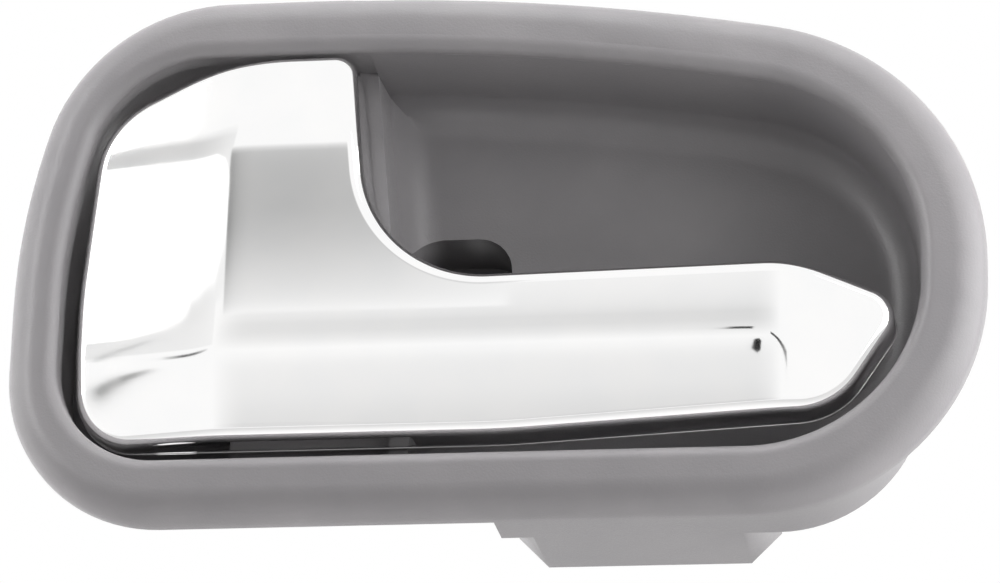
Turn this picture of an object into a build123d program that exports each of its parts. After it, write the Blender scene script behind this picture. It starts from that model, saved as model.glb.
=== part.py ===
# Car interior door handle: a bezel with a finger cup, and a sprung lever that swings on a steel pin.
# Millimetres. +X runs towards the lever's free end, -Y faces the cabin and +Z is up on the door.
# It is drawn with x and z from the left and lower ends of the bezel, and y from its crest to the door,
# then moved so that the origin is the centre of the screw hole at the rear of its boss.

import math
import os

from build123d import *

# Bezel
BEZEL_LENGTH = 152.6
BEZEL_HEIGHT = 87.0
BEZEL_DEPTH = 6.0
BEZEL_EDGE_ROUND = 5.0
RIM_WIDTH = 10.0
RIM_WALL = 2.2
RIM_SKIN = 3.4
LIP_ROUND = 2.4
LIP_BACK = 2.4
SIDE_WIDENING = 1.8
OPENING_LOW_CORNER = 16.0
OPENING_HIGH_CORNER = 19.0

# Walls of the moulding
WALL = 2.5
RIB = 1.8
REAR_RIB_HEIGHT = 3.5
REAR_RIB_END = 24.0
REAR_RIB_TOP = 18.0
DRAFT = 4.0
CUT = 1.0
EDGE_SHARE = 0.98
UPRIGHT_LIMIT = 0.01
LEVEL_LIMIT = 0.7

# Finger cup
CUP_DEPTH = 22.0
CUP_GAP = 5.2
CUP_FLOOR_ROUND = 6.0
PARTITION_GAP = 1.0
PARTITION_LEAN = 6.0

# Screw boss, collar and foot
SCREW_FROM_PARTITION = 10.2
SCREW_ABOVE_BAR = 7.9
SCREW_HOLE_R = 2.75
RECESS_LENGTH = 16.4
RECESS_HEIGHT = 13.2
RECESS_CORNER = 5.5
RECESS_SHIFT = 0.8
PANEL_DEPTH = 38.0
COLLAR_INSET = 1.5
COLLAR_END = 10.5
COLLAR_CORNER = 22.6
COLLAR_DEPTH = 19.0
COLLAR_RIBS = 2
FOOT_END = 34.4
FOOT_LENGTH = 41.9
FOOT_INSET = 2.3
FOOT_HEIGHT = 15.0
FOOT_BEVEL = 4.8
FOOT_CELLS = 3

# Lever bay
BAY_DEPTH = 19.5
BAY_RELIEF = 1.6
LIP_DEPTH = 5.0
SHELF_DEPTH = 12.0
STEP_FROM_PIVOT = 9.0
WINDOW_MARGIN = 4.1
WINDOW_ABOVE_EAR = 10.0
STOP_HEIGHT = 6.0
STOP_LENGTH = 1.5

# Pivot
PIVOT_INSET = 14.4
PIVOT_DEPTH = 10.0
PIN_R = 2.0
PIN_CLEARANCE = 0.05
PIN_HEAD_R = 3.2
PIN_HEAD = 1.6
PIN_TAIL = 2.4
PIN_ACCESS_R = 3.5
EAR_R = 5.2
EAR = 3.0
EAR_ABOVE_EDGE = 10.0
EAR_BELOW_TOP = 17.0
CLIP_R = 4.0
CLIP = 0.7
CLIP_MOUTH = 2.8
GROOVE = 0.5
FIT_GAP = 0.05

# Lever
LEVER_SIDE_GAP = 2.5
LEVER_BOTTOM_GAP = 3.3
LEVER_TOP_GAP = 0.7
LEVER_TIP_GAP = 1.8
LEVER_BODY = 43.0
BAR_HEIGHT = 24.6
LEVER_FRONT = -1.2
LEVER_BACK = 9.2
LEVER_WALL = 2.2
LEVER_EDGE_ROUND = 2.0
RIDGE_HEIGHT = 14.7
LOWER_SLOPE = 12.0
SIDE_FACET = 22.9
SIDE_SLOPE = 10.0
TOP_FACET = 15.0
TOP_SLOPE = 8.0
TIP_FACET = 19.7
TIP_SLOPE = 12.0
CREASE_ROUND = 30.0
FACET_MARGIN = 6.0
BAR_RIBS = 5
BARREL_R = 4.6
BARREL_LENGTH = 10.0
BARREL_GAP = 0.3
BARREL_WEB = 5.0
ARM_REACH = 18.5
ARM_OFFSET = 8.0
ARM = 3.0
ARM_R = 4.0
ARM_END_R = 5.2

# Bumpers, rod bush and spring
BUMPER_INSET = 8.6
BUMPER_BELOW_TOP = 20.3
BUMPER_ABOVE_EDGE = 9.2
BUMPER_R = 3.2
BUMPER_STEM_R = 1.5
BUMPER_GAP = 0.2
ROD_BORE_R = 2.05
BUSH_R = 3.1
BUSH_FLANGE_R = 4.6
BUSH_FLANGE = 1.2
BUSH_LIP = 0.5
SPRING_WIRE = 1.2
WIRE_STRIPS = 6
SPRING_R = 3.5
SPRING_TURNS = 6
SPRING_START = -80.0
SPRING_END = 68.5
SPRING_FRONT_LEG = 9.0
SPRING_REAR_LEG = 15.0

# Places that follow from the sizes
OPENING_TOP = BEZEL_HEIGHT - RIM_WIDTH
LEVER_LEFT = RIM_WIDTH - SIDE_WIDENING + LEVER_SIDE_GAP
LEVER_RIGHT = BEZEL_LENGTH - RIM_WIDTH - LEVER_TIP_GAP
LEVER_BOTTOM = RIM_WIDTH + LEVER_BOTTOM_GAP
LEVER_TOP = OPENING_TOP - LEVER_TOP_GAP
BAR_TOP = LEVER_BOTTOM + BAR_HEIGHT
BODY_RIGHT = LEVER_LEFT + LEVER_BODY
PIVOT_X = LEVER_LEFT + PIVOT_INSET
STEP_X = PIVOT_X + STEP_FROM_PIVOT
LOWER_EAR = LEVER_BOTTOM + EAR_ABOVE_EDGE
UPPER_EAR = LEVER_TOP - EAR_BELOW_TOP
PARTITION_X = BODY_RIGHT + CUP_GAP
BUMPER_X = BODY_RIGHT - BUMPER_INSET
UPPER_BUMPER = LEVER_TOP - BUMPER_BELOW_TOP
LOWER_BUMPER = LEVER_BOTTOM + BUMPER_ABOVE_EDGE
CUP_BACK = CUP_DEPTH + WALL
SCREW_X = PARTITION_X + SCREW_FROM_PARTITION
SCREW_Z = BAR_TOP + SCREW_ABOVE_BAR
FOOT_RIGHT = BEZEL_LENGTH - FOOT_END
FOOT_LEFT = FOOT_RIGHT - FOOT_LENGTH
COLLAR_RIGHT = BEZEL_LENGTH - COLLAR_END
ARM_X = PIVOT_X - ARM_OFFSET
ARM_Y = PIVOT_DEPTH + ARM_REACH
LOWER_BARREL = LOWER_EAR + EAR + BARREL_GAP
UPPER_BARREL = UPPER_EAR - BARREL_GAP - BARREL_LENGTH
ARM_Z = LOWER_BARREL + (BARREL_LENGTH - ARM) / 2

# Corners of the outlines seen from the cabin, anticlockwise: x, z and the radius that rounds the corner
BEZEL_CORNERS = [
    (0, 0, 25.0),
    (BEZEL_LENGTH, 0, 36.6),
    (BEZEL_LENGTH, BEZEL_HEIGHT - 13.7, 40.3),
    (82.2, BEZEL_HEIGHT, 390.0),
    (9.9, BEZEL_HEIGHT, 30.0),
    (0, 49.5, 110.0),
]
LEVER_CORNERS = [
    (LEVER_LEFT, LEVER_BOTTOM, 9.0),
    (LEVER_LEFT + 67.7, LEVER_BOTTOM, 150.0),
    (LEVER_RIGHT - 11.2, LEVER_BOTTOM + 2.7, 12.0),
    (LEVER_RIGHT, LEVER_BOTTOM + 19.5, 4.6),
    (LEVER_RIGHT - 17.3, BAR_TOP + 1.2, 25.0),
    (BODY_RIGHT + 4.3, BAR_TOP, 20.0),
    (BODY_RIGHT, LEVER_TOP, 3.5),
    (LEVER_LEFT + 23.8, LEVER_TOP, 45.0),
    (LEVER_LEFT + 2.5, LEVER_TOP - 9.3, 14.0),
    (LEVER_LEFT, LEVER_BOTTOM + 24.3, 80.0),
]
COLLAR_CORNERS = [
    (FOOT_LEFT, COLLAR_INSET, 0),
    (COLLAR_RIGHT, COLLAR_INSET, COLLAR_CORNER),
    (COLLAR_RIGHT, BAR_TOP, 0),
    (FOOT_LEFT, BAR_TOP, 0),
]
FOOT_CORNERS = [
    (FOOT_LEFT, FOOT_INSET + FOOT_BEVEL, 0),
    (FOOT_LEFT + FOOT_BEVEL, FOOT_INSET, 0),
    (FOOT_RIGHT - FOOT_BEVEL, FOOT_INSET, 0),
    (FOOT_RIGHT, FOOT_INSET + FOOT_BEVEL, 0),
    (FOOT_RIGHT, FOOT_INSET + FOOT_HEIGHT, 0),
    (FOOT_LEFT, FOOT_INSET + FOOT_HEIGHT, 0),
]


def rise(slope, run):
    """Height that a slope in degrees gains over a run."""
    return math.tan(math.radians(slope)) * run


def inset(corners, distance):
    """Corners of the same outline, moved inwards by a distance."""
    moved = []
    for i, (x, z, radius) in enumerate(corners):
        before = Vector(x, z) - Vector(*corners[i - 1][:2])
        after = Vector(*corners[(i + 1) % len(corners)][:2]) - Vector(x, z)
        first, second = (Vector(-d.Y, d.X).normalized() for d in (before, after))
        shift = (first + second) * (distance / (1 + first.dot(second)))
        convex = before.cross(after).Z > 0
        grown = radius - distance if convex else radius + distance
        moved.append((x + shift.X, z + shift.Y, max(grown, 0) if radius else 0))
    return moved


def outline(corners):
    """Face inside an outline with rounded corners, each limited by the edges beside it."""
    points = [Vector(x, z) for x, z, radius in corners]
    following = points[1:] + points[:1]
    edges = [end - start for start, end in zip(points, following)]
    reach = []
    for i, (x, z, radius) in enumerate(corners):
        turn = math.radians(edges[i - 1].get_angle(edges[i]))
        reach.append(radius * math.tan(turn / 2))
    room = []
    for i, edge in enumerate(edges):
        needed = reach[i] + reach[(i + 1) % len(reach)]
        room.append(1 if needed < edge.length else EDGE_SHARE * edge.length / needed)
    radii = [radius * min(room[i - 1], room[i]) for i, (x, z, radius) in enumerate(corners)]
    return make_face(FilletPolyline(*points, radius=radii, close=True))


def band(left, right, low=-BEZEL_HEIGHT, high=2 * BEZEL_HEIGHT):
    """Upright rectangle that cuts an outline between two x, and between two z where they are given."""
    return Pos((left + right) / 2, (low + high) / 2) * Rectangle(right - left, high - low)


def beside_partition(x, end):
    """Region between the leaning line of the partition, moved to an x at half height, and an end."""
    half = BEZEL_HEIGHT / 2
    lean = rise(PARTITION_LEAN, BEZEL_HEIGHT)
    corners = [(x + lean, half - BEZEL_HEIGHT), (end, half - BEZEL_HEIGHT)]
    corners += [(end, half + BEZEL_HEIGHT), (x - lean, half + BEZEL_HEIGHT)]
    return make_face(Polyline(*corners, close=True))


def prism(face, front, back, taper=0):
    """Solid of a face seen from the cabin, between two depths."""
    return extrude(Plane.XZ.offset(-front) * face, amount=-(back - front), taper=taper)


def plate(face, low, high):
    """Solid of a face seen from above, between two heights."""
    return extrude(Plane.XY.offset(low) * face, amount=high - low)


def block(x, y, z):
    """Box between low and high x, y and z."""
    size = [high - low for low, high in (x, y, z)]
    middle = [(low + high) / 2 for low, high in (x, y, z)]
    return Pos(*middle) * Box(*size)


def upright(x, y, low, high, radius):
    """Cylinder along z."""
    return Pos(x, y, (low + high) / 2) * Cylinder(radius, high - low)


def bored(x, z, front, back, radius):
    """Cylinder along y."""
    return Pos(x, (front + back) / 2, z) * Rot(90, 0, 0) * Cylinder(radius, back - front)


def opening_corners():
    """Outline of the bezel's opening: the bezel's own moved inwards, and widened at the left."""
    corners = inset(BEZEL_CORNERS, RIM_WIDTH)
    left_radii = {0: OPENING_LOW_CORNER, 4: OPENING_HIGH_CORNER, 5: corners[5][2]}
    for i, radius in left_radii.items():
        corners[i] = (corners[i][0] - SIDE_WIDENING, corners[i][1], radius)
    return corners


def bezel_rim():
    """Ring round the opening: rounded outside, a rounded lip inside, hollow behind."""
    rim = prism(outline(BEZEL_CORNERS), 0, BEZEL_DEPTH)
    rim = fillet(rim.edges().group_by(Axis.Y)[0], BEZEL_EDGE_ROUND)
    rim -= prism(outline(opening_corners()), -CUT, BEZEL_DEPTH + CUT)
    front = rim.faces().filter_by(Axis.Y).sort_by(Axis.Y)[0]
    rim = fillet(front.inner_wires()[0].edges(), LIP_ROUND)
    hollow = outline(inset(BEZEL_CORNERS, RIM_WALL)) - outline(inset(BEZEL_CORNERS, RIM_WIDTH - WALL))
    return rim - prism(hollow, RIM_SKIN, BEZEL_DEPTH + CUT)


def recess(grown):
    """Outline of the screw recess, grown by a distance."""
    size = (RECESS_LENGTH + 2 * grown, RECESS_HEIGHT + 2 * grown)
    return Pos(SCREW_X - RECESS_SHIFT, SCREW_Z) * RectangleRounded(*size, RECESS_CORNER + grown)


def foot():
    """Hollow stand-off below the cup that rests on the door, open to the rear in cells."""
    solid = prism(outline(FOOT_CORNERS), BEZEL_DEPTH, PANEL_DEPTH)
    inside = outline(inset(FOOT_CORNERS, RIB))
    below_cup = RIM_WIDTH - WALL
    pitch = (FOOT_LENGTH - RIB) / FOOT_CELLS
    for i in range(FOOT_CELLS):
        left = FOOT_LEFT + RIB + i * pitch
        cell = inside & band(left, left + pitch - RIB)
        low_cell = inside & band(left, left + pitch - RIB, 0, below_cup)
        solid -= prism(cell, CUP_BACK, PANEL_DEPTH + CUT)
        solid -= prism(low_cell, COLLAR_DEPTH - WALL, PANEL_DEPTH + CUT)
    return solid


def collar():
    """Locating wall that follows the lower right of the bezel, with two ribs to the cup."""
    ring = outline(COLLAR_CORNERS) - outline(inset(COLLAR_CORNERS, RIB))
    wall = prism(ring, BEZEL_DEPTH - CUT, COLLAR_DEPTH)
    inside = outline(COLLAR_CORNERS)
    pitch = (COLLAR_RIGHT - FOOT_RIGHT) / (COLLAR_RIBS + 1)
    for i in range(COLLAR_RIBS):
        x = FOOT_RIGHT + (i + 1) * pitch
        wall += prism(inside & band(x, x + RIB), BEZEL_DEPTH - CUT, COLLAR_DEPTH)
    return wall


def ear(low):
    """Lug from the step of the lever bay to the pin."""
    reach = STEP_X - PIVOT_X + WALL / 2
    face = Pos(PIVOT_X, PIVOT_DEPTH) * Circle(EAR_R)
    face += Pos(PIVOT_X + reach / 2, PIVOT_DEPTH + EAR_R / 2) * Rectangle(reach, EAR_R)
    return plate(face, low, low + EAR)


def bezel_housing():
    """One moulding: rim, finger cup, lever bay, pivot ears, screw boss, collar and foot."""
    far = 2 * BEZEL_LENGTH
    opening = outline(opening_corners())
    bay = outline(inset(opening_corners(), -BAY_RELIEF)) & band(-far, STEP_X)
    bay_walls = outline(inset(opening_corners(), -BAY_RELIEF - WALL)) & band(-far, STEP_X + WALL)
    walls = outline(inset(opening_corners(), -WALL))
    body = bezel_rim()

    # Outer forms
    body += prism(bay_walls, LIP_BACK, BAY_DEPTH + WALL)
    shelf = beside_partition(PARTITION_X, STEP_X)
    body += prism(walls & shelf, LIP_BACK, SHELF_DEPTH + WALL)
    tub = prism(walls & beside_partition(PARTITION_X - WALL, far), LIP_BACK, CUP_BACK, DRAFT)
    body += fillet(tub.edges().group_by(Axis.Y)[-1], CUP_FLOOR_ROUND)
    body += prism(recess(WALL), CUP_DEPTH, PANEL_DEPTH)
    body += foot() + collar()
    rib_depth = (CUP_DEPTH, CUP_BACK + REAR_RIB_HEIGHT)
    foot_top = FOOT_INSET + FOOT_HEIGHT
    body += block((SCREW_X, BEZEL_LENGTH - REAR_RIB_END), rib_depth, (SCREW_Z, SCREW_Z + RIB))
    body += block((SCREW_X, SCREW_X + RIB), rib_depth, (foot_top, BEZEL_HEIGHT - REAR_RIB_TOP))

    # Hollows
    cup = prism(opening & beside_partition(PARTITION_X, far), LIP_BACK, CUP_DEPTH, DRAFT)
    cup = fillet(cup.edges().group_by(Axis.Y)[-1], CUP_FLOOR_ROUND)
    body -= cup
    body -= prism(bay, LIP_DEPTH, BAY_DEPTH)
    body -= prism(opening & beside_partition(PARTITION_X - WALL, -far), LIP_BACK, SHELF_DEPTH)
    partition_front = LEVER_BACK + PARTITION_GAP
    wall_foot = PARTITION_X + rise(DRAFT, partition_front - LIP_BACK) + FIT_GAP
    body -= prism(opening & beside_partition(wall_foot, -far), LIP_BACK, partition_front)
    body -= prism(recess(0), CUP_DEPTH - CUP_FLOOR_ROUND - CUT, PANEL_DEPTH - WALL)
    body -= bored(SCREW_X, SCREW_Z, CUP_DEPTH, PANEL_DEPTH + CUT, SCREW_HOLE_R)
    window_x = (RIM_WIDTH + WINDOW_MARGIN, STEP_X)
    window_y = (BAY_DEPTH - CUT, BAY_DEPTH + WALL + CUT)
    body -= block(window_x, window_y, (LOWER_EAR, UPPER_EAR + WINDOW_ABOVE_EAR))

    # Pivot, stop and seats
    body += ear(LOWER_EAR) + ear(UPPER_EAR)
    stop_z = ARM_Z + ARM / 2 - STOP_HEIGHT / 2
    stop_y = (BAY_DEPTH - WALL, BAY_DEPTH + WALL)
    body += block((STEP_X - STOP_LENGTH, STEP_X + WALL), stop_y, (stop_z, stop_z + STOP_HEIGHT))
    pin_hole = PIN_R + PIN_CLEARANCE
    body -= upright(PIVOT_X, PIVOT_DEPTH, LOWER_EAR - CUT, UPPER_EAR + EAR + CUT, pin_hole)
    body -= upright(PIVOT_X, PIVOT_DEPTH, 0, RIM_WIDTH, PIN_ACCESS_R)
    for z in (UPPER_BUMPER, LOWER_BUMPER):
        body -= bored(BUMPER_X, z, SHELF_DEPTH - CUT, SHELF_DEPTH + WALL + CUT, BUMPER_STEM_R + FIT_GAP)
    return body


def lever_front(skin):
    """Block behind the lever's front: the section along the bar, carried up the section across it."""
    left, right = LEVER_LEFT - FACET_MARGIN, LEVER_RIGHT + FACET_MARGIN
    along = [
        (left, rise(SIDE_SLOPE, SIDE_FACET + FACET_MARGIN)),
        (LEVER_LEFT + SIDE_FACET, 0),
        (LEVER_RIGHT - TIP_FACET, 0),
        (right, rise(TIP_SLOPE, TIP_FACET + FACET_MARGIN)),
    ]
    across = [
        (rise(LOWER_SLOPE, RIDGE_HEIGHT + FACET_MARGIN), LEVER_BOTTOM - FACET_MARGIN),
        (0, LEVER_BOTTOM + RIDGE_HEIGHT),
        (0, LEVER_TOP - TOP_FACET),
        (rise(TOP_SLOPE, TOP_FACET + FACET_MARGIN), LEVER_TOP + FACET_MARGIN),
    ]
    front = FilletPolyline(*along, radius=CREASE_ROUND)
    rear = Polyline(along[-1], (right, CUP_DEPTH), (left, CUP_DEPTH), along[0])
    path = Plane.YZ * FilletPolyline(*across, radius=CREASE_ROUND)
    section = Pos(path @ 0) * make_face([*front.edges(), *rear.edges()])
    return Pos(0, LEVER_FRONT + skin, 0) * sweep(section, path=path, normal=(0, 0, 1))


def lever_form(corners, skin, back):
    """Prism of the lever's outline with its faceted front."""
    return prism(outline(corners), LEVER_FRONT - CUT, back) & lever_front(skin)


def rounded_front(form):
    """The form with its front edges rounded."""
    sides = [face for face in form.faces() if abs(face.normal_at().Y) < UPRIGHT_LIMIT]
    edges = [edge for face in sides for edge in face.edges()]
    level = [edge for edge in edges if abs(edge.tangent_at(0.5).Y) < LEVEL_LIMIT]
    return fillet([edge for edge in level if edge.center().Y < LEVER_BACK - FIT_GAP], LEVER_EDGE_ROUND)


def lever():
    """Plated hollow moulding with its finger bar, hinge barrels and rod arm."""
    shell = rounded_front(lever_form(LEVER_CORNERS, 0, LEVER_BACK))
    shell -= lever_form(inset(LEVER_CORNERS, LEVER_WALL), LEVER_WALL, LEVER_BACK + CUT)

    # Ribs and webs stand on the inside of the skin
    half_wall = LEVER_WALL / 2
    room = lever_form(inset(LEVER_CORNERS, half_wall), half_wall, PIVOT_DEPTH)
    rib_depth = (LEVER_FRONT, LEVER_BACK)
    ribs = block((BUMPER_X - RIB, BUMPER_X + RIB), rib_depth, (0, BEZEL_HEIGHT))
    bar_left = PARTITION_X
    pitch = (LEVER_RIGHT - TIP_FACET - bar_left) / BAR_RIBS
    for i in range(BAR_RIBS + 1):
        x = bar_left + i * pitch
        ribs += block((x, x + RIB), rib_depth, (0, BAR_TOP))
    arm_ends = Pos(PIVOT_X, PIVOT_DEPTH) * Circle(ARM_R) + Pos(ARM_X, ARM_Y) * Circle(ARM_END_R)
    arm = plate(make_hull(arm_ends.edges()), ARM_Z, ARM_Z + ARM)
    barrels = Part()
    for low in (LOWER_BARREL, UPPER_BARREL):
        high = low + BARREL_LENGTH
        web_x = (PIVOT_X - BARREL_WEB / 2, PIVOT_X + BARREL_WEB / 2)
        ribs += block(web_x, (LEVER_FRONT, PIVOT_DEPTH), (low, high))
        barrels += upright(PIVOT_X, PIVOT_DEPTH, low, high, BARREL_R)
    solid = shell + (ribs & room) + barrels + arm
    solid -= upright(PIVOT_X, PIVOT_DEPTH, LOWER_EAR, UPPER_EAR, PIN_R + PIN_CLEARANCE)
    solid -= upright(PIVOT_X, PIVOT_DEPTH, 0, LOWER_EAR, PIN_ACCESS_R)
    return solid - upright(ARM_X, ARM_Y, ARM_Z - CUT, ARM_Z + ARM + CUT, BUSH_R + FIT_GAP)


def pivot_pin():
    """Headed pin, put in from below, with a groove for its clip above the upper ear."""
    top = UPPER_EAR + EAR
    pin = upright(PIVOT_X, PIVOT_DEPTH, LOWER_EAR, top + PIN_TAIL, PIN_R)
    head = upright(PIVOT_X, PIVOT_DEPTH, LOWER_EAR - PIN_HEAD, LOWER_EAR, PIN_HEAD_R)
    pin += fillet(head.edges().group_by(Axis.Z)[0], PIN_HEAD / 2)
    groove = (top, top + CLIP + 2 * FIT_GAP)
    ring = upright(PIVOT_X, PIVOT_DEPTH, *groove, PIN_R + CUT)
    return pin - (ring - upright(PIVOT_X, PIVOT_DEPTH, *groove, PIN_R - GROOVE))


def pin_clip():
    """Open ring pushed from the rear into the pin's groove."""
    inner = PIN_R - GROOVE + FIT_GAP
    face = Circle(CLIP_R) - Circle(inner) - Pos(0, CLIP_R) * Rectangle(CLIP_MOUTH, 2 * CLIP_R)
    low = UPPER_EAR + EAR + FIT_GAP
    return plate(Pos(PIVOT_X, PIVOT_DEPTH) * face, low, low + CLIP)


def return_spring():
    """Torsion spring round the pin: one leg bears on the lever's skin, the other on the bay's rear wall."""
    low = LOWER_BARREL + BARREL_LENGTH + SPRING_WIRE
    height = UPPER_BARREL - SPRING_WIRE - low
    turns = SPRING_TURNS + (SPRING_END - SPRING_START) / 360
    helix = Edge.make_helix(height / turns, height, SPRING_R)
    coil = Pos(PIVOT_X, PIVOT_DEPTH, low) * Rot(0, 0, SPRING_START) * helix
    first = Line(coil @ 0 - (coil % 0) * SPRING_FRONT_LEG, coil @ 0)
    last = Line(coil @ 1, coil @ 1 + (coil % 1) * SPRING_REAR_LEG)
    path = Wire([first.edge(), coil.edge(), last.edge()])
    strip = 360 / WIRE_STRIPS
    arcs = [CenterArc((0, 0), SPRING_WIRE / 2, i * strip, strip) for i in range(WIRE_STRIPS)]
    section = Plane(origin=path @ 0, z_dir=path % 0) * make_face(arcs)
    return sweep(section, path=path)


def rest_bumper(z):
    """Rubber stop with its stem through the shelf of the bay."""
    head = bored(BUMPER_X, z, LEVER_BACK + BUMPER_GAP, SHELF_DEPTH, BUMPER_R)
    head = fillet(head.edges().group_by(Axis.Y)[0], BUMPER_R / 4)
    return head + bored(BUMPER_X, z, SHELF_DEPTH, SHELF_DEPTH + WALL + BUMPER_STEM_R, BUMPER_STEM_R)


def rod_bush():
    """Flanged nylon bush snapped into the arm, bored for the latch rod."""
    top = ARM_Z + ARM
    bush = upright(ARM_X, ARM_Y, ARM_Z - BUSH_FLANGE, top, BUSH_R)
    bush += upright(ARM_X, ARM_Y, top, top + BUSH_FLANGE, BUSH_FLANGE_R)
    lip = Pos(ARM_X, ARM_Y, ARM_Z - FIT_GAP - BUSH_FLANGE / 2) * Cone(BUSH_R, BUSH_R + BUSH_LIP, BUSH_FLANGE)
    bush += lip
    return bush - upright(ARM_X, ARM_Y, ARM_Z - 2 * BUSH_FLANGE, top + 2 * BUSH_FLANGE, ROD_BORE_R)


os.makedirs("parts", exist_ok=True)
to_origin = Pos(-SCREW_X, -PANEL_DEPTH, -SCREW_Z)
pieces = {
    "bezel_housing": bezel_housing(),
    "lever": lever(),
    "pivot_pin": pivot_pin(),
    "pin_clip": pin_clip(),
    "return_spring": return_spring(),
    "rest_bumper_upper": rest_bumper(UPPER_BUMPER),
    "rest_bumper_lower": rest_bumper(LOWER_BUMPER),
    "rod_bush": rod_bush(),
}
for name, piece in pieces.items():
    export_step(to_origin * piece, f"parts/{name}.step")
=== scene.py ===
# Car interior door handle: its looks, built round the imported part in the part's own frame, in metres.
import math

import bpy
import numpy as np
from mathutils import Matrix, Vector


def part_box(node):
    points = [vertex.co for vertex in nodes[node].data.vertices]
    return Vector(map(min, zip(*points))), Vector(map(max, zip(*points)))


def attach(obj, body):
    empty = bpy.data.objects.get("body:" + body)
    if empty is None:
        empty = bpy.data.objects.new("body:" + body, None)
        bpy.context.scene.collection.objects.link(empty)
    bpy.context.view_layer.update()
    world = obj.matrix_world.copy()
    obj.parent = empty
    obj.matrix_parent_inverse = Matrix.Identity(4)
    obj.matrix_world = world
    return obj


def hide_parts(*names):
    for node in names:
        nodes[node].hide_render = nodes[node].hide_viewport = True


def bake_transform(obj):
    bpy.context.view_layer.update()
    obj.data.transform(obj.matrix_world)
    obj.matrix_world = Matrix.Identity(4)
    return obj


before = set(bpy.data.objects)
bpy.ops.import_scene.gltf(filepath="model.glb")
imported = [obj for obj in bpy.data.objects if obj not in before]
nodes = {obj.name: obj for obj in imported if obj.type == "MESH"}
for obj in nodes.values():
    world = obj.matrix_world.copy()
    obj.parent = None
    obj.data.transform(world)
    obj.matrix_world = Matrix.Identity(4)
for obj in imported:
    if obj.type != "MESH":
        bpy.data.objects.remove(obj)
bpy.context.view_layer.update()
mm = 0.001

# the drawing's zero is the bezel's left, front and lower end, so sizes below read as on the drawing
bezelLow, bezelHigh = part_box("bezel_housing")
drawingZero = np.array(bezelLow)
bezelLength = (bezelHigh.x - bezelLow.x) / mm
bezelHeight = (bezelHigh.z - bezelLow.z) / mm
print("frame loaded, bezel", round(bezelLength, 1), "by", round(bezelHeight, 1), "mm")


def place(x, y, z):  # drawing millimetres to the part's frame
    return np.stack(np.broadcast_arrays(x, y, z), axis=-1) * mm + drawingZero


def meshPiece(name, points, faces, material, smooth=True):  # object at the origin, its place in its mesh
    mesh = bpy.data.meshes.new(name)
    mesh.from_pydata(points.tolist(), [], faces)
    mesh.polygons.foreach_set("use_smooth", np.full(len(mesh.polygons), smooth))
    mesh.materials.append(material)
    mesh.update()
    piece = bpy.data.objects.new(name, mesh)
    bpy.context.scene.collection.objects.link(piece)
    return piece


def gridFaces(rows, columns, closedRows=False, closedColumns=False):  # quads of a grid numbered row by row
    i = np.arange(rows if closedRows else rows - 1)[:, None]
    j = np.arange(columns if closedColumns else columns - 1)[None, :]
    below, beside = (i + 1) % rows, (j + 1) % columns
    quads = [i * columns + j, below * columns + j, below * columns + beside, i * columns + beside]
    return np.stack(np.broadcast_arrays(*quads), axis=-1).reshape(-1, 4)


def roundedOutline(corners, step=0.1):
    # straight edges joined by arcs: each arc is tangent to its two edges; gives points and outward normals
    points = np.array([corner[:2] for corner in corners], float)
    radii = np.array([corner[2] for corner in corners], float)
    ahead = np.roll(points, -1, 0) - points
    ahead /= np.linalg.norm(ahead, axis=1)[:, None]
    behind = np.roll(ahead, 1, 0)
    turn = np.arctan2(behind[:, 0] * ahead[:, 1] - behind[:, 1] * ahead[:, 0], (behind * ahead).sum(1))
    reach = radii * np.tan(np.abs(turn) / 2)
    line, normals = [], []
    for i in range(len(points)):
        side = np.sign(turn[i])
        start = points[i] - behind[i] * reach[i]
        centre = start + side * radii[i] * np.array([-behind[i][1], behind[i][0]])
        first = math.atan2(*(start - centre)[::-1])
        angles = first + np.linspace(0, turn[i], max(3, int(radii[i] * abs(turn[i]) / step)))
        spoke = np.stack([np.cos(angles), np.sin(angles)], 1)
        line.append(centre + spoke * radii[i])
        normals.append(spoke * side)
        following = (i + 1) % len(points)
        end = points[following] - ahead[i] * reach[following]
        leave = line[-1][-1]
        count = max(3, int(np.linalg.norm(end - leave) / step))
        share = np.linspace(0, 1, count)[1:-1, None]
        line.append(leave + (end - leave) * share)
        normals.append(np.repeat([[ahead[i][1], -ahead[i][0]]], count - 2, 0))
    return np.concatenate(line), np.concatenate(normals)


def closedRun(line):  # the outline closed, and the length run at each of its points
    loop = np.concatenate([line, line[:1]])
    return loop, np.concatenate([[0], np.cumsum(np.linalg.norm(np.diff(loop, axis=0), axis=1))])


def alongOutline(line, normals, shares):  # points and normals at shares of the outline's length
    loop, run = closedRun(line)
    turned = np.concatenate([normals, normals[:1]])
    where = np.mod(shares, 1) * run[-1]
    point = np.stack([np.interp(where, run, loop[:, k]) for k in (0, 1)], 1)
    normal = np.stack([np.interp(where, run, turned[:, k]) for k in (0, 1)], 1)
    return point, normal / np.linalg.norm(normal, axis=1)[:, None]


def shareNear(line, spot):  # share of the outline's length nearest to a spot
    run = closedRun(line)[1]
    return run[np.argmin(np.linalg.norm(line - np.array(spot), axis=1))] / run[-1]


# Materials: patterns on Object coordinates, with sizes and depths in mm

noiseBand = (0.3, 0.7)       # most of a noise's values lie between these
scratchBand = (0.35, 0.65)   # narrower, for sharper streaks


def newMaterial(name):
    material = bpy.data.materials.new(name)
    material.use_nodes = True
    tree = material.node_tree
    return material, tree, tree.nodes["Principled BSDF"]


def addNode(tree, kind, **values):
    node = tree.nodes.new(kind)
    for key, value in values.items():
        if key in node.inputs:
            node.inputs[key].default_value = value
        else:
            setattr(node, key, value)
    return node


def objectSpot(tree):
    return addNode(tree, "ShaderNodeTexCoord").outputs["Object"]


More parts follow.
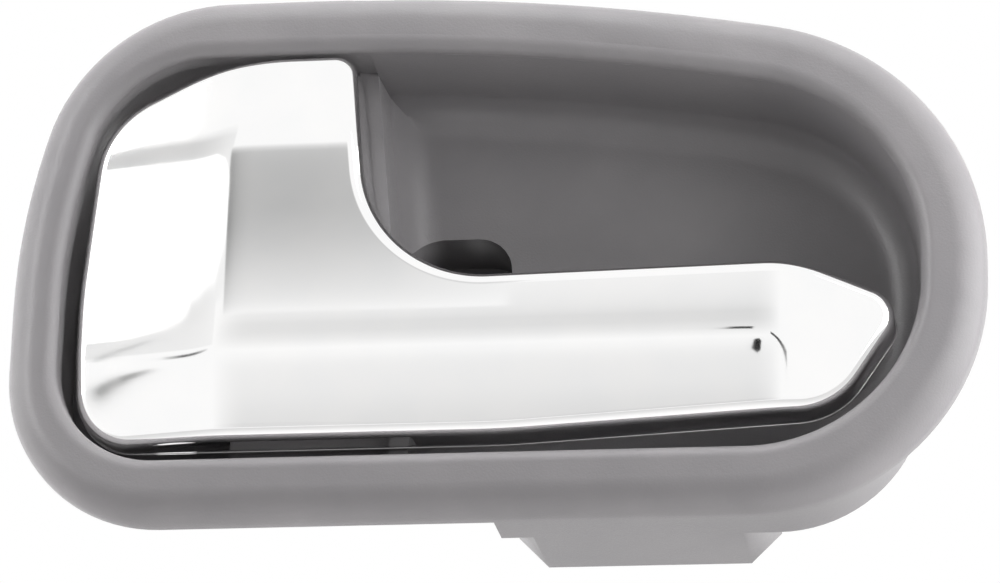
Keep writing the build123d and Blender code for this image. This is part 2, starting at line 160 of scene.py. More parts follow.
def noiseOn(tree, spot, size, detail, roughness):
    noise = addNode(tree, "ShaderNodeTexNoise", Scale=1 / (size * mm), Detail=detail, Roughness=roughness)
    tree.links.new(spot, noise.inputs["Vector"])
    return noise.outputs["Fac"]


def span(tree, source, lowIn, highIn, lowOut, highOut):
    node = addNode(tree, "ShaderNodeMapRange")
    for key, value in (("From Min", lowIn), ("From Max", highIn), ("To Min", lowOut), ("To Max", highOut)):
        node.inputs[key].default_value = value
    tree.links.new(source, node.inputs["Value"])
    return node.outputs["Result"]


def colourBy(tree, shader, noise, dark, light, band=noiseBand):  # colour runs from dark to light
    node = addNode(tree, "ShaderNodeValToRGB")
    for element, where, colour in zip(node.color_ramp.elements, band, (dark, light)):
        element.position = where
        element.color = (*colour, 1)
    tree.links.new(noise, node.inputs["Fac"])
    tree.links.new(node.outputs["Color"], shader.inputs["Base Color"])


def roughBy(tree, shader, noise, low, high):  # roughness runs from low to high
    tree.links.new(span(tree, noise, *noiseBand, low, high), shader.inputs["Roughness"])


def bump(tree, shader, height, strength, depth, under=None):
    node = addNode(tree, "ShaderNodeBump", Strength=strength, Distance=depth * mm)
    tree.links.new(height, node.inputs["Height"])
    if under:
        tree.links.new(under, node.inputs["Normal"])
    if shader:
        tree.links.new(node.outputs["Normal"], shader.inputs["Normal"])
    return node.outputs["Normal"]


bezelFinish = {
    "dark": (0.176, 0.170, 0.176), "light": (0.206, 0.198, 0.203), "toneSize": 25.0,
    "grainSize": 0.34, "grainStrength": 0.45, "pebbleSize": 1.1, "pebbleStrength": 0.12, "depth": 0.09,
    "roughLow": 0.28, "roughHigh": 0.37, "specular": 0.38,
}


def grainedPlastic():  # fine grain on a coarser pebble; the grain also varies the gloss
    look = bezelFinish
    material, tree, shader = newMaterial("grainedPlastic")
    spot = objectSpot(tree)
    grain = noiseOn(tree, spot, look["grainSize"], 3, 0.6)
    pebble = noiseOn(tree, spot, look["pebbleSize"], 2, 0.5)
    tone = noiseOn(tree, spot, look["toneSize"], 3, 0.6)
    colourBy(tree, shader, tone, look["dark"], look["light"])
    roughBy(tree, shader, grain, look["roughLow"], look["roughHigh"])
    coarse = bump(tree, None, pebble, look["pebbleStrength"], look["depth"])
    bump(tree, shader, grain, look["grainStrength"], look["depth"], coarse)
    shader.inputs["Specular IOR Level"].default_value = look["specular"]
    return material


chromeFinish = {
    "dark": (0.95, 0.95, 0.95), "light": (0.975, 0.97, 0.965), "hazeSize": 9.0,
    "roughLow": 0.035, "roughHigh": 0.06,
    "flowSize": 30.0, "flowStrength": 0.15, "flowDepth": 0.05,
}


def brightChrome():  # near mirror with a faint haze, on a casting that is not quite even
    look = chromeFinish
    material, tree, shader = newMaterial("brightChrome")
    spot = objectSpot(tree)
    haze = noiseOn(tree, spot, look["hazeSize"], 3, 0.5)
    colourBy(tree, shader, haze, look["dark"], look["light"])
    roughBy(tree, shader, haze, look["roughLow"], look["roughHigh"])
    flow = noiseOn(tree, spot, look["flowSize"], 1, 0.4)
    bump(tree, shader, flow, look["flowStrength"], look["flowDepth"])
    shader.inputs["Metallic"].default_value = 1.0
    return material


metalFinish = {
    "castMetal": {"dark": (0.55, 0.55, 0.55), "light": (0.68, 0.68, 0.67),
                  "rough": 0.28, "scratchSize": 0.8},
    "platedSteel": {"dark": (0.52, 0.53, 0.54), "light": (0.68, 0.69, 0.70),
                    "rough": 0.22, "scratchSize": 0.5},
    "springWire": {"dark": (0.22, 0.22, 0.23), "light": (0.34, 0.34, 0.35),
                   "rough": 0.30, "scratchSize": 0.4},
}


def turnedMetal(name):  # fine scratches vary colour, gloss and height
    look = metalFinish[name]
    material, tree, shader = newMaterial(name)
    scratch = noiseOn(tree, objectSpot(tree), look["scratchSize"], 4, 0.6)
    colourBy(tree, shader, scratch, look["dark"], look["light"], scratchBand)
    roughBy(tree, shader, scratch, look["rough"], look["rough"] + 0.15)
    bump(tree, shader, scratch, 0.3, 0.01)
    shader.inputs["Metallic"].default_value = 1.0
    return material


softFinish = {
    "blackRubber": {"dark": (0.018, 0.018, 0.018), "light": (0.035, 0.035, 0.035),
                    "rough": 0.75, "grainSize": 0.6},
    "naturalNylon": {"dark": (0.70, 0.69, 0.63), "light": (0.80, 0.79, 0.74),
                     "rough": 0.38, "grainSize": 0.9},
}


def mouldedSoft(name):  # fine grain varies colour, gloss and height
    look = softFinish[name]
    material, tree, shader = newMaterial(name)
    grain = noiseOn(tree, objectSpot(tree), look["grainSize"], 3, 0.6)
    colourBy(tree, shader, grain, look["dark"], look["light"])
    roughBy(tree, shader, grain, look["rough"], look["rough"] + 0.1)
    bump(tree, shader, grain, 0.4, 0.02)
    return material


plastic = grainedPlastic()
chrome = brightChrome()
castMetal, platedSteel, springWire = (turnedMetal(name) for name in metalFinish)
blackRubber, naturalNylon = (mouldedSoft(name) for name in softFinish)
print("materials made")


# CAD nodes that show as they are

nodeFinish = {  # material, and the angle in degrees past which an edge stays sharp
    "bezel_housing": (plastic, 48),
    "lever": (castMetal, 30),
    "pivot_pin": (platedSteel, 30),
    "pin_clip": (platedSteel, 30),
    "rest_bumper_upper": (blackRubber, 30),
    "rest_bumper_lower": (blackRubber, 30),
    "rod_bush": (naturalNylon, 30),
}


def dressNode(name, material, sharp):  # one material, smooth faces, split at real edges
    node = nodes[name]
    node.data.materials.clear()
    node.data.materials.append(material)
    node.data.polygons.foreach_set("use_smooth", np.ones(len(node.data.polygons), bool))
    weld = node.modifiers.new("weld", "WELD")
    weld.merge_threshold = 0.001 * mm
    split = node.modifiers.new("edges", "EDGE_SPLIT")
    split.split_angle = math.radians(sharp)
    weighted = node.modifiers.new("faceWeight", "WEIGHTED_NORMAL")
    weighted.keep_sharp = True
    weighted.weight = 80  # large faces outweigh small ones


for name, (material, sharp) in nodeFinish.items():
    dressNode(name, material, sharp)
print("CAD nodes dressed")


# Lip: an even skin over the rolled edge of the bezel's opening

lipShape = {
    # corners of the bezel's outline, with their radii
    "bezelCorners": [(0, 0, 25.0), (bezelLength, 0, 36.6), (bezelLength, bezelHeight - 13.7, 40.3),
                     (82.2, bezelHeight, 390.0), (9.9, bezelHeight, 30.0), (0, 49.5, 110.0)],
    "rim": 10.0, "widening": 1.8, "lowCorner": 16.0, "highCorner": 19.0,
    "round": 2.4, "proud": 0.045, "sunk": 0.02, "onRim": 1.0, "thick": 0.4,
    "steps": 14, "count": 900,
}


def openingCorners():
    # the bezel's outline moved inwards by the rim's width, and widened at its three left corners
    s = lipShape
    corners = s["bezelCorners"]
    moved = []
    for i, (x, z, radius) in enumerate(corners):
        before = np.array([x, z]) - corners[i - 1][:2]
        after = np.array(corners[(i + 1) % len(corners)][:2]) - [x, z]
        first, second = (np.array([-d[1], d[0]]) / np.linalg.norm(d) for d in (before, after))
        shift = (first + second) * s["rim"] / (1 + first @ second)
        moved.append([x + shift[0], z + shift[1], radius - s["rim"]])
    for i, radius in ((0, s["lowCorner"]), (4, s["highCorner"]), (5, moved[5][2])):
        moved[i][0] -= s["widening"]
        moved[i][2] = radius
    return moved


def buildLip():
    # a quarter round carried along the opening: it rises out of the flat rim, runs just above the
    # moulding, dips into the wall, and returns inside the moulding
    s = lipShape
    line, normals = roundedOutline(openingCorners(), 0.3)
    edge, outward = alongOutline(line, normals, np.linspace(0, 1, s["count"], endpoint=False))
    turns = np.radians(np.linspace(0, 90, s["steps"]))
    lift = s["proud"] * np.sin(2 * turns)
    profile = [(s["round"] + s["onRim"], s["sunk"])]
    for turn, proud in zip(turns, lift):
        reach = s["round"] * (1 - math.sin(turn)) - proud * math.sin(turn)
        profile.append((reach, s["round"] * (1 - math.cos(turn)) - proud * math.cos(turn)))
    inner = s["round"] - s["thick"]
    for turn in turns[::-3]:
        profile.append((s["round"] - inner * math.sin(turn), s["round"] - inner * math.cos(turn)))
    rings = []
    for reach, depth in profile:
        flat = edge + outward * reach
        rings.append(place(flat[:, 0], depth, flat[:, 1]))
    faces = gridFaces(len(rings), s["count"], closedRows=True, closedColumns=True)[:, ::-1]
    lip = meshPiece("lip_skin", np.concatenate(rings), faces.tolist(), plastic)
    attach(lip, "housing")


buildLip()
print("lip made")


# Lever: bright skin over its front and sides

leverShape = {
    "left": 10.7, "right": 140.8, "bottom": 13.3, "top": 76.3, "barTop": 37.9, "bodyRight": 53.7,
    "front": -1.2, "back": 9.2,
    "ridge": 28.0, "lowerSlope": 12.0, "ridgeSoft": 1.3,
    "sideCrease": 33.6, "sideSlope": 10.0, "sideSoft": 1.4,
    "topCrease": 61.3, "topSlope": 8.0, "topSoft": 1.4,
    "tipCrease": 121.1, "tipSlope": 12.0, "tipSoft": 1.2,
    "edgeRound": 2.0, "backRound": 0.5, "backFlat": (1.9, 1.2, 0.7),
    "bead": 0.2, "beadEnd": 3.0, "beadFade": 6.0,
    "proudFront": 0.14, "proudSide": 0.08, "skin": 0.4,
    "alongCount": 260, "acrossCount": 70,
}


def leverCorners():  # corners of the lever's outline, with their radii
    s = leverShape
    return [
        (s["left"], s["bottom"], 9.0),
        (s["left"] + 67.7, s["bottom"], 150.0),
        (s["right"] - 11.2, s["bottom"] + 2.7, 12.0),
        (s["right"], s["bottom"] + 19.5, 4.6),
        (s["right"] - 17.3, s["barTop"] + 1.2, 25.0),
        (s["bodyRight"] + 4.3, s["barTop"], 20.0),
        (s["bodyRight"], s["top"], 3.5),
        (s["left"] + 23.8, s["top"], 45.0),
        (s["left"] + 2.5, s["top"] - 9.3, 14.0),
        (s["left"], s["bottom"] + 24.3, 80.0),
    ]


def slopeBeyond(run, slope, soft):
    # depth of a face that is flat and turns softly into a slope: run is the way past the crease
    return math.tan(math.radians(slope)) * soft * np.logaddexp(0, run / soft)


def leverDepth(x, z):
    # front of the lever: a flat main face, and slopes below, above, left and towards the tip that add up
    s = leverShape
    depth = s["front"] - s["proudFront"]
    depth = depth + slopeBeyond(s["ridge"] - z, s["lowerSlope"], s["ridgeSoft"])
    depth = depth + slopeBeyond(s["sideCrease"] - x, s["sideSlope"], s["sideSoft"])
    depth = depth + slopeBeyond(z - s["topCrease"], s["topSlope"], s["topSoft"])
    return depth + slopeBeyond(x - s["tipCrease"], s["tipSlope"], s["tipSoft"])


def leverEdge():
    # the outline in four sides, bottom, tip, top and left, whose points pair up across the lever:
    # the top is spaced evenly, and the bottom keeps abreast of it
    s = leverShape
    n, m = s["alongCount"], s["acrossCount"]
    line, normals = roundedOutline(leverCorners())
    line = line + normals * s["proudSide"]
    lowLeft = shareNear(line, (s["left"] + 2, s["bottom"] + 2))
    sideEnds = [
        (s["right"] - 7, s["bottom"] + 9),
        (s["right"] - 7, s["barTop"] - 1.5),
        (s["left"] + 4.4, s["top"] - 10.6),
    ]
    lowTip, highTip, highLeft = (lowLeft + (shareNear(line, spot) - lowLeft) % 1 for spot in sideEnds)

    topShares = np.linspace(highTip, highLeft, n + 1)
    topLine = alongOutline(line, normals, topShares)[0]
    corner = int(np.argmin(np.hypot(topLine[:, 0] - s["bodyRight"], topLine[:, 1] - s["top"])))
    inner = int(np.argmin(np.hypot(topLine[:, 0] - s["bodyRight"] - 16, topLine[:, 1] - s["barTop"])))
    bottomShares = np.linspace(lowLeft, lowTip, 4 * n)
    bottomLine = alongOutline(line, normals, bottomShares)[0]
    abreast = np.interp(
        np.arange(n + 1),
        [0, inner, corner, n],
        [bottomLine[-1, 0], s["bodyRight"] + 12, s["bodyRight"] - 6, bottomLine[0, 0]],
    )
    bottomShares = np.interp(abreast[::-1], bottomLine[:, 0], bottomShares)
    tipShares = np.linspace(lowTip, highTip, m + 1)
    leftShares = np.linspace(highLeft, lowLeft + 1, m + 1)
    shares = np.concatenate([bottomShares[:-1], tipShares[:-1], topShares[:-1], leftShares[:-1]])
    return alongOutline(line, normals, shares)


def leverRings(edge, outward):
    # rings carried round the outline make the flat back, the back edge, the bead, the side and the front
    # edge, which a ball rounds: its centre lies one radius in from the side and one behind the sloping front
    s = leverShape
    rings = []

    def addRing(insetBy, depth):
        flat = edge - outward * np.broadcast_to(insetBy, len(edge))[:, None]
        rings.append(place(flat[:, 0], depth, flat[:, 1]))
        return flat

    back = s["back"] + s["proudSide"]
    for insetBy in s["backFlat"]:
        addRing(insetBy, back)
    for turn in np.radians(np.linspace(0, 90, 6)):
        addRing(s["backRound"] * (1 - math.sin(turn)), back - s["backRound"] * (1 - math.cos(turn)))
    # the bead runs along the back edge of the bar, and fades out on the body
    bead = s["bead"] * np.clip((s["barTop"] - s["beadEnd"] - edge[:, 1]) / s["beadFade"], 0, 1)
    beadFront = back - s["backRound"] - 2 * s["bead"]
    for turn in np.radians(np.linspace(0, 180, 11)[1:-1]):
        addRing(-bead * math.sin(turn), beadFront + s["bead"] * (1 + math.cos(turn)))
    ball = s["edgeRound"]
    rimDepth = leverDepth(edge[:, 0], edge[:, 1])
    within = edge - outward * ball
    fall = (leverDepth(within[:, 0], within[:, 1]) - rimDepth) / ball
    centre = rimDepth + ball * (fall + np.sqrt(1 + fall ** 2))
    for share in np.linspace(0, 1, 8)[:-1]:
        addRing(0, beadFront * (1 - share) + centre * share)
    for share in np.linspace(0, 1, 13):
        turn = np.arctan2(1, -fall) * share
        inmost = addRing(ball * (1 - np.cos(turn)), centre - ball * np.sin(turn))
    return rings, inmost


def buildLeverSkin():
    # the rings, and inside the last one a grid that is blended from its four sides
    s = leverShape
    n, m = s["alongCount"], s["acrossCount"]
    edge, outward = leverEdge()
    rings, inside = leverRings(edge, outward)
    count, rows = len(edge), len(rings)
    points = np.concatenate(rings)
    faces = gridFaces(rows, count, closedColumns=True)[:, ::-1]

    inside = np.concatenate([inside, inside[:1]])
    bottom, tip = inside[: n + 1], inside[n : n + m + 1]
    top, left = inside[n + m : 2 * n + m + 1][::-1], inside[2 * n + m :][::-1]
    u = np.linspace(0, 1, n + 1)[:, None, None]
    v = np.linspace(0, 1, m + 1)[None, :, None]
    grid = (1 - v) * bottom[:, None] + v * top[:, None] + (1 - u) * left[None] + u * tip[None]
    grid -= (1 - u) * (1 - v) * bottom[0] + u * (1 - v) * bottom[-1] + u * v * top[-1] + (1 - u) * v * top[0]
    number = np.full((n + 1, m + 1), -1)
    around = (rows - 1) * count + np.arange(count + 1) % count
    number[:, 0] = around[: n + 1]
    number[-1, :] = around[n : n + m + 1]
    number[:, -1] = around[n + m : 2 * n + m + 1][::-1]
    number[0, :] = around[2 * n + m :][::-1]
    new = grid[1:-1, 1:-1].reshape(-1, 2)
    number[1:-1, 1:-1] = len(points) + np.arange(len(new)).reshape(n - 1, m - 1)
    points = np.concatenate([points, place(new[:, 0], leverDepth(new[:, 0], new[:, 1]), new[:, 1])])
    quads = np.stack([number[:-1, :-1], number[1:, :-1], number[1:, 1:], number[:-1, 1:]], -1).reshape(-1, 4)

    skin = meshPiece("lever_skin", points, np.concatenate([faces, quads]).tolist(), chrome)
    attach(skin, "lever")
    wall = skin.modifiers.new("wall", "SOLIDIFY")
    wall.thickness = s["skin"] * mm
    wall.offset = -1
    return skin


leverSkin = buildLeverSkin()
print("lever skin", len(leverSkin.data.polygons), "faces")


# Return spring: coil and legs

springShape = {
    "pivotX": 25.1, "pivotY": 10.0, "low": 37.8, "high": 47.8,
    "coil": 3.5, "wire": 1.2, "turns": 6, "startAngle": -80.0, "endAngle": 68.5,
    "frontLeg": 9.0, "rearLeg": 15.0,
    "steps": 520, "legSteps": 24, "sides": 14,
}


def springPath():  # a straight leg, a helix and a second straight leg, round the pin's axis
    s = springShape
    sweep = 2 * math.pi * s["turns"] + math.radians(s["endAngle"] - s["startAngle"])
    angle = math.radians(s["startAngle"]) + np.linspace(0, sweep, s["steps"])
    height = np.linspace(s["low"], s["high"], s["steps"])
    coil = np.stack([s["coil"] * np.cos(angle), s["coil"] * np.sin(angle), height], 1)
    startWay, endWay = coil[1] - coil[0], coil[-1] - coil[-2]
    startWay, endWay = startWay / np.linalg.norm(startWay), endWay / np.linalg.norm(endWay)
    legShare = np.linspace(0, 1, s["legSteps"])[:, None]
    first = coil[0] - startWay * s["frontLeg"] * (1 - legShare[:-1])
    last = coil[-1] + endWay * s["rearLeg"] * legShare[1:]
    return np.concatenate([first, coil, last])


def buildSpring():  # a round wire carried along the path, with a fan of faces on each end
    s = springShape
    path = springPath()
    way = np.gradient(path, axis=0)
    way /= np.linalg.norm(way, axis=1)[:, None]
    sideways = np.cross(way, [0, 0, 1])
    sideways /= np.linalg.norm(sideways, axis=1)[:, None]
    upward = np.cross(sideways, way)
    turn = np.linspace(0, 2 * math.pi, s["sides"], endpoint=False)
    section = sideways[:, None] * np.cos(turn)[None, :, None] + upward[:, None] * np.sin(turn)[None, :, None]
    tube = (path[:, None] + section * s["wire"] / 2).reshape(-1, 3)
    points = np.concatenate([tube, path[:1], path[-1:]])
    points = place(points[:, 0] + s["pivotX"], points[:, 1] + s["pivotY"], points[:, 2])
    faces = gridFaces(len(path), s["sides"], closedColumns=True)
    fan = np.arange(s["sides"])
    following = (fan + 1) % s["sides"]
    lastRow = (len(path) - 1) * s["sides"]
    caps = np.concatenate([
        np.stack([np.full_like(fan, len(tube)), fan, following], 1),
        np.stack([np.full_like(fan, len(tube) + 1), lastRow + following, lastRow + fan], 1),
    ])
    spring = meshPiece("spring_coil", points, faces.tolist() + caps.tolist(), springWire)
    start = place(s["pivotX"], s["pivotY"], s["low"])
    end = place(s["pivotX"], s["pivotY"], s["high"])
    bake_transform(spring)
    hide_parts("return_spring")


buildSpring()
print("spring made")


# Stage: floor, room light, lamps round the part, and the panels that the chrome mirrors

floorLook = {
    "depth": 0.36, "half": 1.6,   # below the origin, under the camera, and half its width
    "colour": (0.72, 0.71, 0.71, 1), "rough": 0.8,
    "white": 0.6,                 # share of plain white that the eye and mirrors see
}

# room light: way it comes from, strength, and how narrow it is
glowLook = [((0.71, -0.71, 0.0), 1.1, 6), ((0.80, -0.50, -0.33), 1.0, 6), ((0.0, 0.80, 0.60), 1.2, 2)]

lampAim = (78.1, 0.0, 40.0)  # drawing mm
lampLook = {  # size, power and place
    "topLamp": (0.25, 2.3, (0.0, -0.14, 0.33)),
    "leftLamp": (0.25, 0.9, (-0.34, -0.14, 0.05)),
    "rightLamp": (0.25, 1.1, (0.36, -0.14, 0.0)),
    "rightNearLamp": (0.08, 0.06, (0.16, -0.09, -0.02)),
    "leftEdgeLamp": (0.25, 1.6, (-0.35, 0.02, 0.0)),
    "rightEdgeLamp": (0.25, 1.0, (0.36, 0.02, 0.0)),
    "lowEdgeLamp": (0.25, 0.32, (0.0, 0.02, -0.30)),
}


def mathNode(tree, operation, *values):  # values are sockets or numbers
    node = addNode(tree, "ShaderNodeMath", operation=operation)
    for socket, value in zip(node.inputs, values):
        if isinstance(value, (int, float)):
            socket.default_value = value
        else:
            tree.links.new(value, socket)
    return node.outputs[0]


def seenBy(tree, *rays):  # 1 for rays of these kinds, otherwise 0
    path = addNode(tree, "ShaderNodeLightPath")
    seen = path.outputs[rays[0]]
    for ray in rays[1:]:
        seen = mathNode(tree, "MAXIMUM", seen, path.outputs[ray])
    return seen


def mixInto(tree, output, share, first, second):  # surface runs from the first shader to the second
    mix = addNode(tree, "ShaderNodeMixShader")
    tree.links.new(share, mix.inputs["Fac"])
    tree.links.new(first.outputs[0], mix.inputs[1])
    tree.links.new(second.outputs[0], mix.inputs[2])
    tree.links.new(mix.outputs[0], output.inputs["Surface"])


def buildFloor():  # paler to the eye and in mirrors, and the part's shadow stays on it
    s = floorLook
    material, tree, shader = newMaterial("paleFloor")
    shader.inputs["Base Color"].default_value = s["colour"]
    shader.inputs["Roughness"].default_value = s["rough"]
    share = span(tree, seenBy(tree, "Is Camera Ray", "Is Glossy Ray"), 0, 1, 0, s["white"])
    white = addNode(tree, "ShaderNodeEmission", Strength=1.0)
    mixInto(tree, tree.nodes["Material Output"], share, shader, white)
    half, height = s["half"], -s["depth"]
    corners = [(-half, -half, height), (half, -half, height), (half, half, height), (-half, half, height)]
    meshPiece("floor", np.array(corners), [[0, 1, 2, 3]], material, smooth=False)


def buildWorld():
    # each glow on the part is strongest along its own way and falls off as a power of the cosine;
    # the eye, mirrors and clear pieces see plain white instead
    world = bpy.data.worlds.new("studio")
    bpy.context.scene.world = world
    world.use_nodes = True
    tree = world.node_tree
    tree.nodes.clear()
    way = addNode(tree, "ShaderNodeTexCoord").outputs["Generated"]
    total = 0
    for ahead, strength, narrow in glowLook:
        cosine = addNode(tree, "ShaderNodeVectorMath", operation="DOT_PRODUCT")
        cosine.inputs[1].default_value = ahead
        tree.links.new(way, cosine.inputs[0])
        facing = mathNode(tree, "MAXIMUM", cosine.outputs["Value"], 0)
        total = mathNode(tree, "MULTIPLY_ADD", mathNode(tree, "POWER", facing, narrow), strength, total)
    glow = addNode(tree, "ShaderNodeBackground", Color=(1, 1, 1, 1))
    tree.links.new(total, glow.inputs["Strength"])
    white = addNode(tree, "ShaderNodeBackground", Color=(1, 1, 1, 1), Strength=1.0)
    seen = seenBy(tree, "Is Camera Ray", "Is Glossy Ray", "Is Transmission Ray")
    mixInto(tree, addNode(tree, "ShaderNodeOutputWorld"), seen, glow, white)


def buildLamps():  # square lamps that chrome does not mirror
    aim = Vector(place(*lampAim))
    for name, (size, power, location) in lampLook.items():
        light = bpy.data.lights.new(name, "AREA")
        light.size = size
        light.energy = power
        lamp = bpy.data.objects.new(name, light)
        bpy.context.scene.collection.objects.link(lamp)
        lamp.location = location
        lamp.rotation_euler = (aim - Vector(location)).to_track_quat("-Z", "Y").to_euler()
        lamp.visible_glossy = False


def stripCorners(start, end, thickness):  # four corners of a straight strip below a line
    (x0, z0), (x1, z1) = start, end
    return [(x0, z0), (x0, z0 - thickness), (x1, z1 - thickness), (x1, z1)]


# upright panels that the chrome mirrors: y, corners in x and z, grey levels by x,
# and for those that fade to white the share of that grey by height
panelLook = {
    "grey_wall": {  # behind the main face: grey high up, paler towards the ridge
        "front": -0.62,
        "corners": [(-0.225, 0.19), (-0.08, 0.19), (-0.08, 0.33), (-0.225, 0.33)],
        "across": [(-0.225, 0.30), (-0.215, 0.30), (-0.19, 0.42), (-0.165, 0.50),
                   (-0.14, 0.49), (-0.115, 0.55), (-0.08, 0.8)],
        "upward": [(0.19, 0.0), (0.199, 0.25), (0.212, 0.58), (0.222, 0.85), (0.232, 1.0), (0.29, 0.85),
                   (0.31, 0.5), (0.33, 0.0)],
    },
    "bar_wall": {  # along the bar: paler, darkest just above the ridge, and again low down
        "front": -0.63,
        "corners": [(-0.28, -0.12), (0.14, -0.12), (0.14, 0.215), (-0.28, 0.215)],
        "across": [(-0.28, 1.0), (-0.20, 0.84), (-0.16, 0.74), (-0.05, 0.70), (0.0, 0.68), (0.06, 0.8),
                   (0.14, 1.0)],
        "upward": [(-0.12, 1.0), (-0.088, 0.95), (-0.077, 0.52), (-0.06, 0.40), (-0.035, 0.17), (0.0, 0.03),
                   (0.06, 0.5), (0.12, 0.80), (0.165, 0.83), (0.202, 0.40), (0.215, 0.2)],
    },
    "side_wall": {  # left of them, above the softbox and below it
        "front": -0.64,
        "corners": [(-1.0, -0.03), (-0.225, 0.06), (-0.225, 0.47), (-1.0, 0.52)],
        "across": [(-1.0, 0.8), (-0.47, 0.62), (-0.40, 0.72), (-0.225, 0.88)],
        "upward": [(-0.03, 0.3), (0.05, 0.4), (0.2, 0.5), (0.36, 1.0), (0.42, 1.0), (0.47, 0.2), (0.52, 0.0)],
    },
    "softbox": {
        "front": -0.60,
        "corners": [(-1.0, 0.02), (-0.42, 0.15), (-0.405, 0.20), (-0.39, 0.224), (-0.342, 0.221),
                    (-0.28, 0.214), (-0.222, 0.22), (-0.215, 0.24), (-0.25, 0.275), (-0.31, 0.30),
                    (-0.42, 0.306), (-1.0, 0.30)],
        "across": [(-1.0, 1.15), (-0.215, 1.15)],
    },
    "softbox_edge": {
        "front": -0.605,
        "corners": stripCorners((-0.424, 0.025), (-0.412, 0.145), 0.022),
        "across": [(-0.424, 0.03), (-0.417, 0.05), (-0.412, 0.6)],
    },
    "table_edge": {
        "front": -0.605,
        "corners": stripCorners((-0.426, -0.058), (-0.404, -0.034), 0.008),
        "across": [(-0.426, 0.03), (-0.412, 0.04), (-0.404, 0.7)],
    },
    "table_end": {
        "front": -0.605,
        "corners": stripCorners((-0.398, 0.002), (-0.30, 0.026), 0.012),
        "across": [(-0.398, 0.6), (-0.385, 0.1), (-0.36, 0.15), (-0.30, 0.9)],
    },
    # dark things near the camera that show at the end of the ridge
    "stand": {
        "front": -0.60,
        "corners": [(-0.012, 0.046), (0.005, 0.042), (0.006, 0.058), (-0.010, 0.062)],
        "across": [(-0.012, 0.05), (0.006, 0.03)],
    },
    "lens": {
        "front": -0.60,
        "corners": [(0.004, -0.05), (0.012, -0.057), (0.021, -0.053), (0.024, -0.03), (0.018, -0.017),
                    (0.008, -0.02)],
        "across": [(0.004, 0.02), (0.024, 0.02)],
    },
    "strap": {
        "front": -0.60,
        "corners": stripCorners((0.066, 0.02), (0.175, -0.054), 0.014),
        "across": [(0.066, 0.1), (0.12, 0.03), (0.175, 0.3)],
    },
}

# windows at both sides that give the grained rim its sheen: brightness, two ends in x and y, heights
windowLook = {
    "left_window": (9.0, (-0.66, -0.59), (-0.46, -0.59), -0.05, 0.6),
    "left_window_far": (1.5, (-0.95, -0.59), (-0.66, -0.59), -0.05, 0.6),
    "left_window_side": (1.2, (-0.95, -0.59), (-0.95, 0.3), -0.1, 0.6),
    "right_window": (3.0, (0.34, -0.59), (0.95, -0.59), -0.1, 0.5),
    "right_window_side": (3.0, (0.95, -0.59), (0.95, 0.4), -0.1, 0.6),
}


def shadeRamp(tree, source, low, high, stops):  # grey levels at places between low and high
    node = addNode(tree, "ShaderNodeValToRGB")
    while len(node.color_ramp.elements) < len(stops):
        node.color_ramp.elements.new(0.5)
    for element, (where, value) in zip(node.color_ramp.elements, stops):
        element.position = (where - low) / (high - low)
        element.color = (value, value, value, 1)
    tree.links.new(span(tree, source, low, high, 0, 1), node.inputs["Fac"])
    return node.outputs["Color"]


def glowMaterial(name, strength):
    material = bpy.data.materials.new(name)
    material.use_nodes = True
    tree = material.node_tree
    tree.nodes.clear()
    glow = addNode(tree, "ShaderNodeEmission", Strength=strength)
    tree.links.new(glow.outputs[0], addNode(tree, "ShaderNodeOutputMaterial").inputs["Surface"])
    return material, tree, glow


def hangPanel(name, points, material):  # flat panel, seen only in reflections
    panel = meshPiece(name, points, [list(range(len(points)))], material, smooth=False)
    for ray in ("camera", "diffuse", "transmission", "volume_scatter", "shadow"):
        setattr(panel, "visible_" + ray, False)


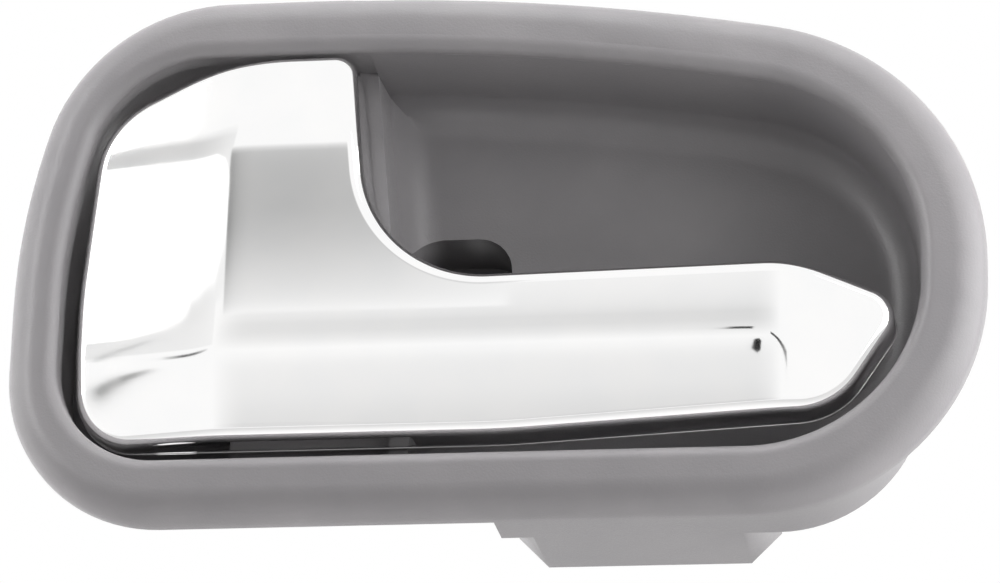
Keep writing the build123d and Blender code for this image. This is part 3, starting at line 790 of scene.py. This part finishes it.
def mirrorPanel(name, front, corners, across, upward=None):  # grey by x, faded to white by height
    corners = np.array(corners)
    left, low = corners.min(0)
    right, high = corners.max(0)
    material, tree, glow = glowMaterial(name, 1.0)
    spot = addNode(tree, "ShaderNodeSeparateXYZ")
    tree.links.new(objectSpot(tree), spot.inputs[0])
    grey = shadeRamp(tree, spot.outputs["X"], left, right, across)
    if upward:
        fade = addNode(tree, "ShaderNodeMix", data_type="RGBA", blend_type="MIX")
        share = shadeRamp(tree, spot.outputs["Z"], low, high, upward)
        tree.links.new(share, fade.inputs[0])
        fade.inputs[6].default_value = (1, 1, 1, 1)  # its two colours are sockets 6 and 7
        tree.links.new(grey, fade.inputs[7])
        grey = fade.outputs[2]
    tree.links.new(grey, glow.inputs["Color"])
    hangPanel(name, np.column_stack([corners[:, 0], np.full(len(corners), front), corners[:, 1]]), material)


def windowPanel(name, level, start, end, low, high):  # bright upright rectangle
    corners = [(*start, low), (*end, low), (*end, high), (*start, high)]
    hangPanel(name, np.array(corners), glowMaterial(name, level)[0])


def buildPanels():
    for name, look in panelLook.items():
        mirrorPanel(name, **look)
    for name, look in windowLook.items():
        windowPanel(name, *look)


# Camera: the photograph's view, from below and a little to the right

cameraView = {
    "target": (78.1, 0.0, 35.3),      # drawing mm
    "azimuth": 9.0, "elevation": -20.0, "roll": 1.4,
    "distance": 0.70, "focalPixels": 4550.0, "imageWidth": 1000, "sensor": 36.0,
}


def buildCamera():
    s = cameraView
    azimuth, elevation, roll = (math.radians(s[key]) for key in ("azimuth", "elevation", "roll"))
    level = math.cos(elevation)
    back = Vector((math.sin(azimuth) * level, -math.cos(azimuth) * level, math.sin(elevation)))
    right = (-back).cross(Vector((0, 0, 1))).normalized()
    up = right.cross(-back)
    across = right * math.cos(roll) + up * math.sin(roll)
    upward = up * math.cos(roll) - right * math.sin(roll)
    spot = Vector(place(*s["target"])) + back * s["distance"]
    lens = bpy.data.cameras.new("camera")
    lens.sensor_width = s["sensor"]
    lens.lens = s["focalPixels"] / s["imageWidth"] * s["sensor"]
    camera = bpy.data.objects.new("camera", lens)
    bpy.context.scene.collection.objects.link(camera)
    columns = [(*axis, 0) for axis in (across, upward, back)] + [(*spot, 1)]
    camera.matrix_world = Matrix(columns).transposed()
    bpy.context.scene.camera = camera


buildFloor()
buildWorld()
buildPanels()
buildCamera()
buildLamps()
bpy.context.scene.view_settings.view_transform = "Standard"
print("stage and camera set")
